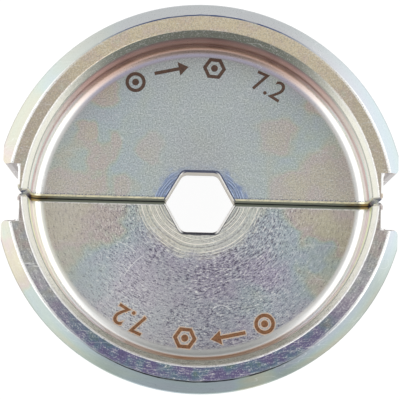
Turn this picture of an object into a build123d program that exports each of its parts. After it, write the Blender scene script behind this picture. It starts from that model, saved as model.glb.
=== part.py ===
from build123d import *
import math
import os

# A closed pair of half dies for a hexagonal crimp.
# X runs along the parting line, Y across it, and Z is the axis of the crimp, with the marked face up.
# The halves meet on the plane y = 0, and the origin is the centre of the opening, halfway through the web.
# All sizes are in millimetres.

# The hexagonal opening that forms the crimp.
HEX_ACROSS_FLATS = 7.2
HEX_CORNER_RADIUS = 0.3
HEX_EDGE_BREAK = 0.2

# The turned section: a thin web in the middle of a deep rim.
WEB_THICKNESS = 4.0
RECESS_DEPTH = 6.7
OUTER_RADIUS = 24.12
RIM_THICKNESS = 3.92
LEAD_IN_WIDTH = 0.73
LEAD_IN_DEPTH = 0.9
SEAT_CHAMFER_WIDTH = 1.48
SEAT_CHAMFER_DEPTH = 0.9
TURNED_EDGE_BREAK = 0.12

# The marked front is finished with radii, and the plain back with straight cuts.
FLOOR_FILLET_RADIUS = 1.3
RIM_INNER_EDGE_RADIUS = 0.15
RIM_SHOULDER_RADIUS = 0.5
BACK_FLOOR_CHAMFER = 0.9

# How far the turning axis lies beyond each parting face: half of the saw cut that split the disc.
HALF_SAW_CUT = 1.2

# The milled ends: flats cut into the sides, and a notch at each end of the parting line.
SIDE_FLAT_DEPTH = 0.97
NOTCH_HALF_HEIGHT = 3.29
# The metal that a notch leaves outside the recess.
NOTCH_WALL = 1.13
NOTCH_ROOT_RADIUS = 0.5
NOTCH_EDGE_BREAK = 0.2
SHOULDER_TIP_RADIUS = 0.6
PARTING_END_RADIUS = 0.75
PARTING_EDGE_BREAK = 0.5

# A small blind hole in the middle of each shoulder that stands over a notch.
CENTRE_MARK_DIAMETER = 0.5
CENTRE_MARK_DEPTH = 0.25

# How far a cutting or trimming shape runs past the die.
OVERSHOOT = 1.0

WEB_Z = WEB_THICKNESS / 2
FACE_Z = WEB_Z + RECESS_DEPTH
RECESS_RADIUS = OUTER_RADIUS - RIM_THICKNESS
SIDE_FLAT_HALF_SPAN = OUTER_RADIUS - SIDE_FLAT_DEPTH
NOTCH_HALF_SPAN = RECESS_RADIUS + NOTCH_WALL
# Two points nearer than this are the same point.
TOLERANCE = 1e-4


def corners(face, *points):
    """The vertices of a flat face that lie at these points."""
    return [v for v in face.vertices() if any(math.dist((v.X, v.Y), p) < TOLERANCE for p in points)]


def mirrored(point):
    """A point and its mirror images in both axes."""
    x, y = point
    return (x, y), (-x, y), (x, -y), (-x, -y)


def turned_section():
    """Half of the section through the turning axis: radius along X, height along Y."""
    floor = (RECESS_RADIUS, WEB_Z)
    lead_in_foot = (RECESS_RADIUS, FACE_Z - LEAD_IN_DEPTH)
    rim_inner = (RECESS_RADIUS + LEAD_IN_WIDTH, FACE_Z)
    rim_shoulder = (OUTER_RADIUS - SEAT_CHAMFER_WIDTH, FACE_Z)
    seat_edge = (OUTER_RADIUS, FACE_Z - SEAT_CHAMFER_DEPTH)
    front = [(0, WEB_Z), floor, lead_in_foot, rim_inner, rim_shoulder, seat_edge]
    back = [(radius, -height) for radius, height in front]
    section = make_face(Polyline(*front, *reversed(back), close=True))
    section = fillet(corners(section, floor), FLOOR_FILLET_RADIUS)
    section = fillet(corners(section, rim_inner), RIM_INNER_EDGE_RADIUS)
    section = fillet(corners(section, rim_shoulder), RIM_SHOULDER_RADIUS)
    section = chamfer(corners(section, back[1]), BACK_FLOOR_CHAMFER)
    return chamfer(corners(section, seat_edge, *back[3:]), TURNED_EDGE_BREAK)


def turned_disc():
    """The section turned about an axis that lies beyond the parting face of the upper half."""
    centre = (0, -HALF_SAW_CUT, 0)
    # The turned surface starts and ends on the side that the parting face cuts away.
    plane = Plane(origin=centre, x_dir=(0, -1, 0), z_dir=(-1, 0, 0))
    return revolve(plane * turned_section(), axis=Axis(centre, (0, 0, 1)))


def milled_outline():
    """The limits of the upper half seen along Z: side flats, end notches and the parting face."""
    top = OUTER_RADIUS + OVERSHOOT
    right = [
        (NOTCH_HALF_SPAN, 0),
        (NOTCH_HALF_SPAN, NOTCH_HALF_HEIGHT),
        (SIDE_FLAT_HALF_SPAN, NOTCH_HALF_HEIGHT),
        (SIDE_FLAT_HALF_SPAN, top),
    ]
    left = [(-x, y) for x, y in reversed(right)]
    outline = make_face(Polyline(*right, *left, close=True))
    outline = fillet(corners(outline, *mirrored(right[0])), PARTING_END_RADIUS)
    outline = fillet(corners(outline, *mirrored(right[1])), NOTCH_ROOT_RADIUS)
    return fillet(corners(outline, *mirrored(right[2])), SHOULDER_TIP_RADIUS)


def milled_block():
    """The milled outline through the whole die, with its front and back edges broken at 45 degrees."""
    outline = milled_outline()
    straight = FACE_Z - NOTCH_EDGE_BREAK
    reach = 2 * NOTCH_EDGE_BREAK
    low = Pos(0, 0, straight) * outline
    high = Pos(0, 0, straight + reach) * offset(outline, -reach)
    cap = loft([low, high], ruled=True)
    return extrude(outline, straight, both=True) + cap + mirror(cap, about=Plane.XY)


def recess_at(height):
    """The recess on a plane this far over the parting face, in X and Z, and its sharp floor corners."""
    from_axis = height + HALF_SAW_CUT
    wall_x = math.sqrt(RECESS_RADIUS**2 - from_axis**2)
    rim_x = math.sqrt((RECESS_RADIUS + LEAD_IN_WIDTH) ** 2 - from_axis**2)
    past_x = rim_x + OVERSHOOT * LEAD_IN_WIDTH / LEAD_IN_DEPTH
    right = [(wall_x, WEB_Z), (wall_x, FACE_Z - LEAD_IN_DEPTH), (past_x, FACE_Z + OVERSHOOT)]
    left = [(-x, z) for x, z in reversed(right)]
    return make_face(Polyline(*right, *left, close=True)), mirrored(right[0])


def bevel_cutter(recess):
    """A cutter that bevels the edge of the parting face at 45 degrees all round a recess in it."""
    # It starts under the parting face and narrows until it ends in the free space of the recess.
    reach = 2 * PARTING_EDGE_BREAK
    across = {"x_dir": (1, 0, 0), "z_dir": (0, -1, 0)}
    wide = offset(recess, reach, kind=Kind.INTERSECTION)
    narrow = offset(recess, -reach, kind=Kind.INTERSECTION)
    start = Plane((0, PARTING_EDGE_BREAK - reach, 0), **across) * wide
    end = Plane((0, PARTING_EDGE_BREAK + reach, 0), **across) * narrow
    return loft([start, end], ruled=True)


def parting_bevels():
    """The bevels round the front recess, with its rounded floor, and round the plain back one."""
    recess, floor_ends = recess_at(PARTING_EDGE_BREAK)
    front = bevel_cutter(fillet(corners(recess, *floor_ends), FLOOR_FILLET_RADIUS))
    back = bevel_cutter(chamfer(corners(recess, *floor_ends), BACK_FLOOR_CHAMFER))
    return front + mirror(back, about=Plane.XY)


def hexagon_cutter():
    """The hexagonal opening with two corners on the parting line, and its broken front and back edges."""
    hexagon = RegularPolygon(HEX_ACROSS_FLATS / 2, 6, major_radius=False)
    flat_end = HEX_ACROSS_FLATS / 2 / math.sqrt(3)
    flat_corners = mirrored((flat_end, HEX_ACROSS_FLATS / 2))
    hexagon = fillet(corners(hexagon, *flat_corners), HEX_CORNER_RADIUS)
    low = Pos(0, 0, WEB_Z - HEX_EDGE_BREAK) * hexagon
    high = Pos(0, 0, WEB_Z + HEX_EDGE_BREAK) * offset(hexagon, 2 * HEX_EDGE_BREAK, kind=Kind.INTERSECTION)
    flare = loft([low, high], ruled=True)
    return extrude(hexagon, FACE_Z, both=True) + flare + mirror(flare, about=Plane.XY)


def centre_mark(side):
    """A small blind hole that marks the middle of the shoulder on one side."""
    middle = side * (NOTCH_HALF_SPAN + SIDE_FLAT_HALF_SPAN) / 2
    hole = Cylinder(CENTRE_MARK_DIAMETER / 2, 2 * CENTRE_MARK_DEPTH)
    return Pos(middle, NOTCH_HALF_HEIGHT, 0) * Rot(90, 0, 0) * hole


def half_die():
    """The upper half: turned, split, milled at the ends and broached for the hexagon."""
    half = turned_disc() & milled_block()
    half -= parting_bevels()
    half -= hexagon_cutter()
    for side in (-1, 1):
        half -= centre_mark(side)
    return half


def main():
    upper = half_die()
    # Both halves are the same part: the lower one is turned half a turn about the crimp axis.
    lower = Rot(0, 0, 180) * upper
    os.makedirs("parts", exist_ok=True)
    export_step(upper, "parts/upper_half_die.step")
    export_step(lower, "parts/lower_half_die.step")
    for name, half in (("upper_half_die", upper), ("lower_half_die", lower)):
        print(name, "volume", round(half.volume, 2), "solids", len(half.solids()), "valid", half.is_valid)


main()
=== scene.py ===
import math

import bmesh
import bpy
from mathutils import Matrix, Vector


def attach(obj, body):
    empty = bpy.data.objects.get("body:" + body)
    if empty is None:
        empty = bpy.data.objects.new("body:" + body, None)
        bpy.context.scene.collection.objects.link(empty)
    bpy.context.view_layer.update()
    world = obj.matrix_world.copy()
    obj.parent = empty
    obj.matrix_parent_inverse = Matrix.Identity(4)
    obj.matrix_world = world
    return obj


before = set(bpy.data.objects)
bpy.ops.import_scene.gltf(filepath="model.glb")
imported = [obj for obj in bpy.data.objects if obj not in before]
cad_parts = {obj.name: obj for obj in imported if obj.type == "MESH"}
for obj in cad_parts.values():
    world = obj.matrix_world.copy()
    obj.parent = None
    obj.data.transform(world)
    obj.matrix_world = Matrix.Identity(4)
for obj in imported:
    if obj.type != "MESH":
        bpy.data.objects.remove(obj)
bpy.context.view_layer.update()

MM = 0.001

# The driving sizes of the die that the finishes follow, in millimetres.
HALF_SAW_CUT = 1.2
HEX_ACROSS_FLATS = 7.2
HEX_EDGE_BREAK = 0.2
HEX_CORNER_RADIUS = 1.0
WEB_THICKNESS = 4.0
RECESS_DEPTH = 6.7
FLOOR_FILLET_RADIUS = 1.3
OUTER_RADIUS = 24.12
RIM_THICKNESS = 3.92
LEAD_IN_WIDTH = 0.73
LEAD_IN_DEPTH = 0.9
SEAT_CHAMFER_WIDTH = 1.48
SIDE_FLAT_DEPTH = 0.97
NOTCH_WALL = 1.13
NOTCH_HALF_HEIGHT = 3.29
BEVEL_WIDTH = 0.5

# What follows from them: heights over the middle of the web, radii about the turning axis, and widths.
WEB_FACE_Z = WEB_THICKNESS / 2
FILLET_TOP_Z = WEB_FACE_Z + FLOOR_FILLET_RADIUS
RIM_FACE_Z = WEB_FACE_Z + RECESS_DEPTH
LEAD_IN_FOOT_Z = RIM_FACE_Z - LEAD_IN_DEPTH
RECESS_RADIUS = OUTER_RADIUS - RIM_THICKNESS
WEB_RADIUS = RECESS_RADIUS - FLOOR_FILLET_RADIUS
RIM_INNER_RADIUS = RECESS_RADIUS + LEAD_IN_WIDTH
RIM_OUTER_RADIUS = OUTER_RADIUS - SEAT_CHAMFER_WIDTH
NOTCH_HALF_SPAN = RECESS_RADIUS + NOTCH_WALL
SIDE_FLAT_HALF_SPAN = OUTER_RADIUS - SIDE_FLAT_DEPTH
CENTRE_MARK = ((NOTCH_HALF_SPAN + SIDE_FLAT_HALF_SPAN) / 2, NOTCH_HALF_HEIGHT, 0.0)
CENTRE_MARK_RADIUS = 0.36

# The camera that took the photo, fitted to the die: millimetres, degrees.
CAMERA_PLACE = Vector((-2.420, -21.965, 231.233))
CAMERA_TARGET = Vector((-0.044, -0.372, 8.7))
CAMERA_ROLL = 1.441
CAMERA_LENS = 172.68

# The etched marks: plain signs on an arc of the web, in millimetres.
MARK_HEIGHT = 2.45
MARK_MIDDLE_RADIUS = 17.55
MARK_STROKE = 0.42
MARK_RISE = 0.016
MARK_DOT_RADIUS = 0.42
MARK_RING_STEPS = 40
MARK_DOT_SEGMENTS = 24
ARROW_HALF_LENGTH = 2.1
ARROW_NECK = 0.9
ARROW_HALF_WIDTH = 0.85
# How tall a digit of the built-in typeface is at size 1, and how much its strokes are thickened.
DIGIT_SHARE = 0.729
DIGIT_THICKENING = 0.02
HALO_RISE = 0.008
HALO_WIDTH = 0.14

# How far a corner piece stays under the face of the web, and how far out it reaches: 1 is the corner.
CORNER_SINK = 0.004
CORNER_SEAT = 1.12

# What one radian counts in patterns that are drawn out along the turning, and the pitch of the tool's rings.
RADIAN_LENGTH = 3.5
RING_PITCH = 0.30
# How softly a drawn line ends.
LINE_SOFTNESS = 0.05

# How fine the patterns are, as the scale of a noise over millimetres.
WEB_FILM_SCALE = 0.35
RIM_FILM_SCALE = 0.45
CONE_FILM_SCALE = 0.3
GRAIN_SCALE = 6.0
ETCHING_SCALE = 3.5
STROKE_SCALE = 5.6
SCRATCH_SCALE = 0.8
RIM_HAIR_SCALE = 1.3

# Where effects of the web start and end, sideways from the middle of the die.
FILM_SIDEWAYS = (3.0, 13.0)
LIFT_SIDEWAYS = (11.0, 17.0)
GRAIN_SIDEWAYS = (15.5, 8.0)
STROKES_SIDEWAYS = (12.5, 7.0)
STROKE_SHADE_SIDEWAYS = (9.0, 3.0)
# Where a film spot or a broad shade starts and where it is full, as shares of its radius.
SPOT_START, SPOT_FULL = 1.60, 0.45
SHADE_START, SHADE_FULL = 1.50, 0.30

# The roughness of the plating, and what its flat faces, its lead-in and its grain add.
PLAIN_ROUGHNESS = 0.24
FLAT_ROUGHNESS = 0.14
LEAD_IN_ROUGHNESS = 0.16
GRAIN_ROUGHNESS = 0.10
# The depth of the relief, in millimetres.
GROOVE_ROLL_DEPTH = 0.16
GRAIN_DEPTH = 0.03

# The paper under the die: half its size in metres, its colours and its glow.
FLOOR_HALF_SIZE = 2.0
PAPER = (0.75, 0.75, 0.75, 1)
PAPER_IN_SIGHT = (0.16, 0.16, 0.16, 1)
PAPER_GLOW = 0.92

# The brightness of the light tent. Before and behind the die it is given high up and low down.
TENT_SIDES = 1.55
TENT_TOP = 0.60
TENT_BEFORE = (0.16, 0.95)
TENT_BEHIND = (0.42, 1.00)

# Colours that the passivated film shows as it grows thicker, from 0 to 1.
FILM_COLOURS = (
    (0.00, (0.680, 0.620, 0.420, 1)),
    (0.16, (0.620, 0.540, 0.410, 1)),
    (0.30, (0.620, 0.510, 0.470, 1)),
    (0.42, (0.560, 0.570, 0.440, 1)),
    (0.54, (0.480, 0.590, 0.530, 1)),
    (0.68, (0.460, 0.570, 0.620, 1)),
    (0.84, (0.500, 0.540, 0.630, 1)),
    (1.00, (0.500, 0.445, 0.600, 1)),
)

# Colours of the plating, its bright wear and its painted highlights.
ZINC = (0.560, 0.565, 0.550, 1)
TEAL_ZINC = (0.530, 0.568, 0.565, 1)
BLUE_ZINC = (0.445, 0.450, 0.480, 1)
BRIGHT_ZINC = (0.780, 0.800, 0.800, 1)
SILVER = (0.880, 0.880, 0.860, 1)
WHITE = (0.970, 0.970, 0.950, 1)
IVORY = (0.965, 0.965, 0.880, 1)
CREAM = (0.800, 0.770, 0.620, 1)
PALE_CREAM = (0.970, 0.930, 0.850, 1)
FROST_BLUE = (0.680, 0.800, 0.980, 1)

# Tints of the film on the turned surfaces, in the groove and beside the opening.
PALE_GOLD = (0.950, 0.900, 0.640, 1)
PALE_LIME = (0.830, 0.920, 0.450, 1)
PALE_MINT = (0.560, 0.860, 0.740, 1)
PALE_SAGE = (0.720, 0.730, 0.640, 1)
PALE_ORANGE = (0.760, 0.560, 0.400, 1)
GOLD = (0.500, 0.410, 0.200, 1)
BRONZE = (0.420, 0.310, 0.170, 1)
TAN = (0.700, 0.570, 0.400, 1)
WARM_TAN = (0.560, 0.500, 0.420, 1)
OLIVE_TAN = (0.500, 0.420, 0.320, 1)
ORANGE_TAN = (0.580, 0.370, 0.240, 1)
SHELL = (0.700, 0.540, 0.480, 1)
ROSE = (0.640, 0.360, 0.300, 1)
DEEP_ROSE = (0.640, 0.300, 0.400, 1)
LILAC = (0.520, 0.490, 0.600, 1)
SAGE = (0.500, 0.510, 0.440, 1)
STEEL_BLUE = (0.185, 0.260, 0.500, 1)

# Dull and dark colours of shade, specks, lines and etching.
GREY_GREEN = (0.330, 0.360, 0.320, 1)
GREY_BROWN = (0.400, 0.360, 0.350, 1)
ROSE_BROWN = (0.410, 0.240, 0.180, 1)
UMBER = (0.170, 0.100, 0.070, 1)
MOSS = (0.200, 0.215, 0.180, 1)
SLATE = (0.300, 0.320, 0.340, 1)
SLATE_VIOLET = (0.105, 0.130, 0.260, 1)
SHADOW_VIOLET = (0.100, 0.085, 0.140, 1)
SHADOW_OLIVE = (0.200, 0.190, 0.175, 1)
INK_BLUE = (0.110, 0.130, 0.210, 1)
NAVY = (0.060, 0.100, 0.260, 1)
SOOT = (0.050, 0.050, 0.065, 1)
DARK_BROWN = (0.085, 0.048, 0.034, 1)
WARM_BROWN = (0.130, 0.075, 0.052, 1)
ORANGE_BROWN = (0.190, 0.080, 0.035, 1)
RUST_ORANGE = (0.310, 0.150, 0.065, 1)


class Nodes:
    """Adds nodes to one tree and joins them."""

    def __init__(self, tree):
        self.tree = tree

    def feed(self, socket, value):
        """Joins a socket to another one, or sets its value."""
        if isinstance(value, bpy.types.NodeSocket):
            self.tree.links.new(value, socket)
        else:
            socket.default_value = value

    def add(self, kind, *inputs, **settings):
        """A new node. Inputs are fed in order, or by name where one is a dictionary."""
        node = self.tree.nodes.new(kind)
        for name, value in settings.items():
            setattr(node, name, value)
        for place, value in enumerate(inputs):
            if isinstance(value, dict):
                for name, fed in value.items():
                    self.feed(node.inputs[name], fed)
            else:
                self.feed(node.inputs[place], value)
        return node

    def sum(self, operation, *values, clamp=False):
        return self.add("ShaderNodeMath", *values, operation=operation, use_clamp=clamp).outputs[0]

    def product(self, *values):
        total = values[0]
        for value in values[1:]:
            total = self.sum("MULTIPLY", total, value)
        return total

    def rest(self, value):
        """What is left of one."""
        return self.sum("SUBTRACT", 1.0, value)

    def between(self, share, first, second):
        """A value that goes from first to second as the share goes from 0 to 1."""
        return self.sum("ADD", first, self.product(share, self.sum("SUBTRACT", second, first)))

    def step(self, value, low, high, bottom=0.0, top=1.0):
        """A smooth change from bottom to top as the value goes from low to high."""
        inputs = {"Value": value, "From Min": low, "From Max": high, "To Min": bottom, "To Max": top}
        return self.add("ShaderNodeMapRange", inputs, interpolation_type="SMOOTHSTEP").outputs["Result"]

    def band(self, value, low, high, soft=LINE_SOFTNESS):
        """One between low and high, with soft ends outside them."""
        rise = self.step(value, self.sum("SUBTRACT", low, soft), low)
        fall = self.step(value, high, self.sum("ADD", high, soft), 1.0, 0.0)
        return self.product(rise, fall)

    def mix(self, amount, first, second, blend="MIX"):
        """A colour between two, or the first one changed by the second."""
        node = self.add("ShaderNodeMix", data_type="RGBA", blend_type=blend)
        inputs = {socket.identifier: socket for socket in node.inputs}
        for name, value in (("Factor_Float", amount), ("A_Color", first), ("B_Color", second)):
            self.feed(inputs[name], value)
        return next(socket for socket in node.outputs if socket.identifier == "Result_Color")

    def noise(self, place, scale, detail=2.0, roughness=0.5, **settings):
        inputs = {"Scale": scale, "Detail": detail, "Roughness": roughness}
        node = self.add("ShaderNodeTexNoise", inputs, **settings)
        self.feed(node.inputs["W" if node.noise_dimensions == "1D" else "Vector"], place)
        return node.outputs["Fac"]

    def waver(self, place, scale, detail, reach):
        """A value that wavers about zero."""
        return self.product(self.sum("SUBTRACT", self.noise(place, scale, detail), 0.5), reach)

    def point(self, *values):
        return self.add("ShaderNodeCombineXYZ", *values).outputs[0]

    def vector(self, operation, *inputs):
        return self.add("ShaderNodeVectorMath", *inputs, operation=operation).outputs["Vector"]

    def distance(self, first, second):
        return self.add("ShaderNodeVectorMath", first, second, operation="DISTANCE").outputs["Value"]

    def ramp(self, value, *stops):
        """A colour for each value from 0 to 1: stops are (place, colour)."""
        node = self.add("ShaderNodeValToRGB", value)
        ends = node.color_ramp.elements
        while len(ends) < len(stops):
            ends.new(0.5)
        for end, (place, colour) in zip(ends, stops):
            end.position = place
            end.color = colour
        return node.outputs["Color"]


# Plain values of a group's inputs. A pair becomes two inputs, the start and the end of a span.
NOTHING = 0.0
POINT = (0.0, 0.0, 0.0)
SPAN = (0.0, 1.0)
SOCKET_KINDS = {3: "NodeSocketVector", 4: "NodeSocketColor"}


def split_spans(values):
    """Named values, with each span as its start and its end."""
    for label, value in values.items():
        if isinstance(value, tuple) and len(value) == 2:
            yield label + " Start", value[0]
            yield label + " End", value[1]
        else:
            yield label, value


def span(given, label):
    """The two inputs of a group that a span became."""
    return given[label + " Start"], given[label + " End"]


def new_group(name, inputs, outputs):
    """A shader node group with its sockets, as its nodes, its inputs and its output node."""
    tree = bpy.data.node_groups.new(name, "ShaderNodeTree")
    for label, value in split_spans(inputs):
        kind = SOCKET_KINDS[len(value)] if isinstance(value, tuple) else "NodeSocketFloat"
        socket = tree.interface.new_socket(name=label, in_out="INPUT", socket_type=kind)
        socket.default_value = value
    for label, kind in outputs.items():
        tree.interface.new_socket(name=label, in_out="OUTPUT", socket_type="NodeSocket" + kind)
    nodes = Nodes(tree)
    return nodes, nodes.add("NodeGroupInput").outputs, nodes.add("NodeGroupOutput").inputs


def place_group():
    """Where a point lies on a half that is turned about an axis off the parting plane, in millimetres."""
    # Middle is 1 in the middle of the half's arc and nears 0 at its ends. Across goes from -1 at the left end
    # to 1 at the right one. Along is the place with its turning drawn out straight.
    nodes, given, result = new_group(
        "Turned place",
        {"Axis Y": NOTHING},
        {"Place": "Vector", "Along": "Vector", "Radius": "Float", "Height": "Float", "Middle": "Float",
         "Across": "Float", "Sideways": "Float", "From Parting": "Float", "From Opening": "Float"},
    )
    place = nodes.vector("SCALE", nodes.add("ShaderNodeTexCoord").outputs["Object"], {"Scale": 1 / MM})
    x, y, z = nodes.add("ShaderNodeSeparateXYZ", place).outputs
    from_axis = nodes.sum("ABSOLUTE", nodes.sum("SUBTRACT", y, given["Axis Y"]))
    radius = nodes.distance(nodes.point(x, from_axis, 0.0), POINT)
    angle = nodes.sum("ARCTAN2", x, from_axis)
    sideways = nodes.sum("ABSOLUTE", x)
    from_parting = nodes.sum("ABSOLUTE", y)
    slant = nodes.sum("ADD", nodes.product(sideways, math.cos(math.radians(30))),
                      nodes.product(from_parting, math.sin(math.radians(30))))
    # The blend of the two distances follows the rounded corners of the opening.
    farthest = nodes.sum("SMOOTH_MAX", from_parting, slant, 0.8 * HEX_CORNER_RADIUS)
    nodes.feed(result["Place"], place)
    nodes.feed(result["Along"], nodes.point(radius, nodes.product(angle, RADIAN_LENGTH), z))
    nodes.feed(result["Radius"], radius)
    nodes.feed(result["Height"], nodes.sum("ABSOLUTE", z))
    nodes.feed(result["Middle"], nodes.sum("DIVIDE", from_axis, radius))
    nodes.feed(result["Across"], nodes.sum("DIVIDE", x, radius))
    nodes.feed(result["Sideways"], sideways)
    nodes.feed(result["From Parting"], from_parting)
    nodes.feed(result["From Opening"], nodes.sum("SUBTRACT", farthest, HEX_ACROSS_FLATS / 2))
    return nodes.tree


def zones_group():
    """Which turned surface a point is on, as one mask for each, and the edges of the rim."""
    nodes, given, result = new_group(
        "Turned zones",
        {"Radius": NOTHING, "Height": NOTHING},
        {"Web": "Float", "Web Face": "Float", "Fillet": "Float", "Wall": "Float", "Lead-in": "Float",
         "Rim": "Float", "Cone": "Float", "Inner Edge": "Float", "Seat Edge": "Float"},
    )
    radius, height = given["Radius"], given["Height"]
    past_web = nodes.step(radius, WEB_RADIUS - 0.3, WEB_RADIUS + 0.1)
    past_lead_in = nodes.step(radius, RIM_INNER_RADIUS - 0.06, RIM_INNER_RADIUS)
    past_rim = nodes.step(radius, RIM_OUTER_RADIUS - 0.10, RIM_OUTER_RADIUS)
    past_fillet = nodes.step(height, FILLET_TOP_Z - 0.5, FILLET_TOP_Z)
    past_wall = nodes.step(height, LEAD_IN_FOOT_Z - 0.05, LEAD_IN_FOOT_Z + 0.05)
    on_face = nodes.step(height, WEB_FACE_Z - 0.3, WEB_FACE_Z - 0.2)
    web = nodes.rest(past_web)
    inside = nodes.rest(past_lead_in)
    nodes.feed(result["Web"], web)
    nodes.feed(result["Web Face"], nodes.product(web, on_face))
    nodes.feed(result["Fillet"], nodes.product(past_web, inside, nodes.rest(past_fillet)))
    nodes.feed(result["Wall"], nodes.product(inside, past_fillet, nodes.rest(past_wall)))
    nodes.feed(result["Lead-in"], nodes.product(inside, past_wall))
    nodes.feed(result["Rim"], nodes.product(past_lead_in, nodes.rest(past_rim)))
    nodes.feed(result["Cone"], past_rim)
    inner_edge = nodes.band(radius, RIM_INNER_RADIUS - 0.14, RIM_INNER_RADIUS + 0.06, 0.06)
    nodes.feed(result["Inner Edge"], inner_edge)
    seat_edge = nodes.band(radius, RIM_OUTER_RADIUS - 0.24, RIM_OUTER_RADIUS + 0.04, 0.06)
    nodes.feed(result["Seat Edge"], seat_edge)
    return nodes.tree


def film_group():
    """The clear passivated film over the zinc: its colour follows its thickness, from 0 to 1."""
    nodes, given, result = new_group(
        "Passivated film",
        {"Place": POINT, "Thickness": 0.5, "Spread": 0.5, "Scale": 0.15, "Amount": 0.5, "Base": ZINC},
        {"Color": "Color"},
    )
    cloud = nodes.noise(given["Place"], given["Scale"], 2.5, 0.55)
    shift = nodes.product(nodes.sum("SUBTRACT", cloud, 0.5), 2.4, given["Spread"])
    thickness = nodes.sum("ADD", given["Thickness"], shift, clamp=True)
    colour = nodes.ramp(thickness, *FILM_COLOURS)
    nodes.feed(result["Color"], nodes.mix(given["Amount"], given["Base"], colour))
    return nodes.tree


def film_course_group():
    """The thickness of the film round a half, from its left end over its middle to its right end."""
    nodes, given, result = new_group(
        "Film course",
        {"Across": NOTHING, "Middle": NOTHING, "Ends": SPAN, "Top": 0.5},
        {"Thickness": "Float"},
    )
    end = nodes.step(given["Across"], -0.6, 0.6, *span(given, "Ends"))
    share = nodes.step(given["Middle"], 0.05, 0.75)
    nodes.feed(result["Thickness"], nodes.between(share, end, given["Top"]))
    return nodes.tree


def film_spot_group():
    """A spot where the film has another thickness."""
    nodes, given, result = new_group(
        "Film spot",
        {"Place": POINT, "Wander": NOTHING, "Thickness": 0.5, "Centre": POINT, "Radius": 1.0, "Spot": 0.5},
        {"Thickness": "Float"},
    )
    away = nodes.sum("ADD", nodes.distance(given["Place"], given["Centre"]), given["Wander"])
    far, near = nodes.product(given["Radius"], SPOT_START), nodes.product(given["Radius"], SPOT_FULL)
    share = nodes.step(away, far, near)
    nodes.feed(result["Thickness"], nodes.between(share, given["Thickness"], given["Spot"]))
    return nodes.tree


def broad_shade_group():
    """A broad area that is lighter or darker than the rest."""
    nodes, given, result = new_group(
        "Broad shade",
        {"Place": POINT, "Color": ZINC, "Centre": POINT, "Radius": 1.0, "Tone": SILVER, "Amount": 0.1},
        {"Color": "Color"},
    )
    away = nodes.distance(given["Place"], given["Centre"])
    far, near = nodes.product(given["Radius"], SHADE_START), nodes.product(given["Radius"], SHADE_FULL)
    share = nodes.step(away, far, near, 0.0, given["Amount"])
    nodes.feed(result["Color"], nodes.mix(share, given["Color"], given["Tone"]))
    return nodes.tree


def turning_marks_group():
    """Rings that the turning tool left about the opening: a height, and masks that end raggedly outwards."""
    nodes, given, result = new_group(
        "Turning marks",
        {"Place": POINT, "Along": POINT, "Radius": NOTHING, "Middle": NOTHING, "Web Face": NOTHING,
         "Reach": SPAN, "Fade": SPAN},
        {"Height": "Float", "Reach": "Float", "Stain": "Float", "Bright": "Float", "Dark": "Float"},
    )
    wander = nodes.product(nodes.noise(given["Place"], 0.35, 1.0), 0.3)
    ring = nodes.sum("ADD", given["Radius"], wander)
    lines = nodes.noise(ring, 1 / RING_PITCH, 3.0, 0.7, noise_dimensions="1D")
    breaks = nodes.step(nodes.noise(given["Place"], 0.9, 2.0), 0.30, 0.55)
    ragged = nodes.sum("ADD", given["Radius"], nodes.waver(given["Along"], 1.6, 2.0, 2.2))
    reach = nodes.product(nodes.step(ragged, *span(given, "Reach"), 1.0, 0.0), given["Web Face"],
                          nodes.step(given["Middle"], *span(given, "Fade"), 1.0, 0.0))
    nodes.feed(result["Height"], lines)
    nodes.feed(result["Reach"], reach)
    nodes.feed(result["Stain"], nodes.product(reach, nodes.step(lines, 0.40, 0.56, 0.45, 1.0)))
    nodes.feed(result["Bright"], nodes.product(nodes.step(lines, 0.53, 0.61), breaks, reach))
    nodes.feed(result["Dark"], nodes.product(nodes.step(lines, 0.47, 0.38), breaks, reach))
    return nodes.tree


def hair_scratches_group():
    """Fine hair scratches in a few directions, as a mask."""
    nodes, given, result = new_group("Hair scratches", {"Place": POINT, "Scale": 1.0}, {"Mask": "Float"})
    total = 0.0
    for angle in (25, 80, 145):
        turned = nodes.add("ShaderNodeMapping", {"Vector": given["Place"]})
        turned.inputs["Rotation"].default_value = (0.0, 0.0, math.radians(angle))
        turned.inputs["Scale"].default_value = (0.10, 1.0, 1.0)
        hair = nodes.noise(turned.outputs[0], given["Scale"], 1.0)
        where = nodes.step(nodes.noise(turned.outputs[0], 0.35, 0.0), 0.58, 0.68)
        line = nodes.product(nodes.band(hair, 0.560, 0.563, 0.005), where)
        total = nodes.sum("MAXIMUM", total, line)
    nodes.feed(result["Mask"], total)
    return nodes.tree


def curved_scratch_group():
    """One scratch that curves about a centre, added to a mask."""
    nodes, given, result = new_group(
        "Curved scratch",
        {"Mask": NOTHING, "Place": POINT, "Spot": POINT, "Half Length": 1.0, "Centre": POINT, "Curve": 1.0},
        {"Mask": "Float"},
    )
    from_spot = nodes.distance(given["Place"], given["Spot"])
    from_centre = nodes.distance(given["Place"], given["Centre"])
    off_curve = nodes.sum("ABSOLUTE", nodes.sum("SUBTRACT", from_centre, given["Curve"]))
    length = nodes.step(from_spot, given["Half Length"], nodes.product(given["Half Length"], 0.7))
    line = nodes.product(nodes.step(off_curve, 0.02 + LINE_SOFTNESS, 0.02), length)
    nodes.feed(result["Mask"], nodes.sum("MAXIMUM", given["Mask"], line))
    return nodes.tree


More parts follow.
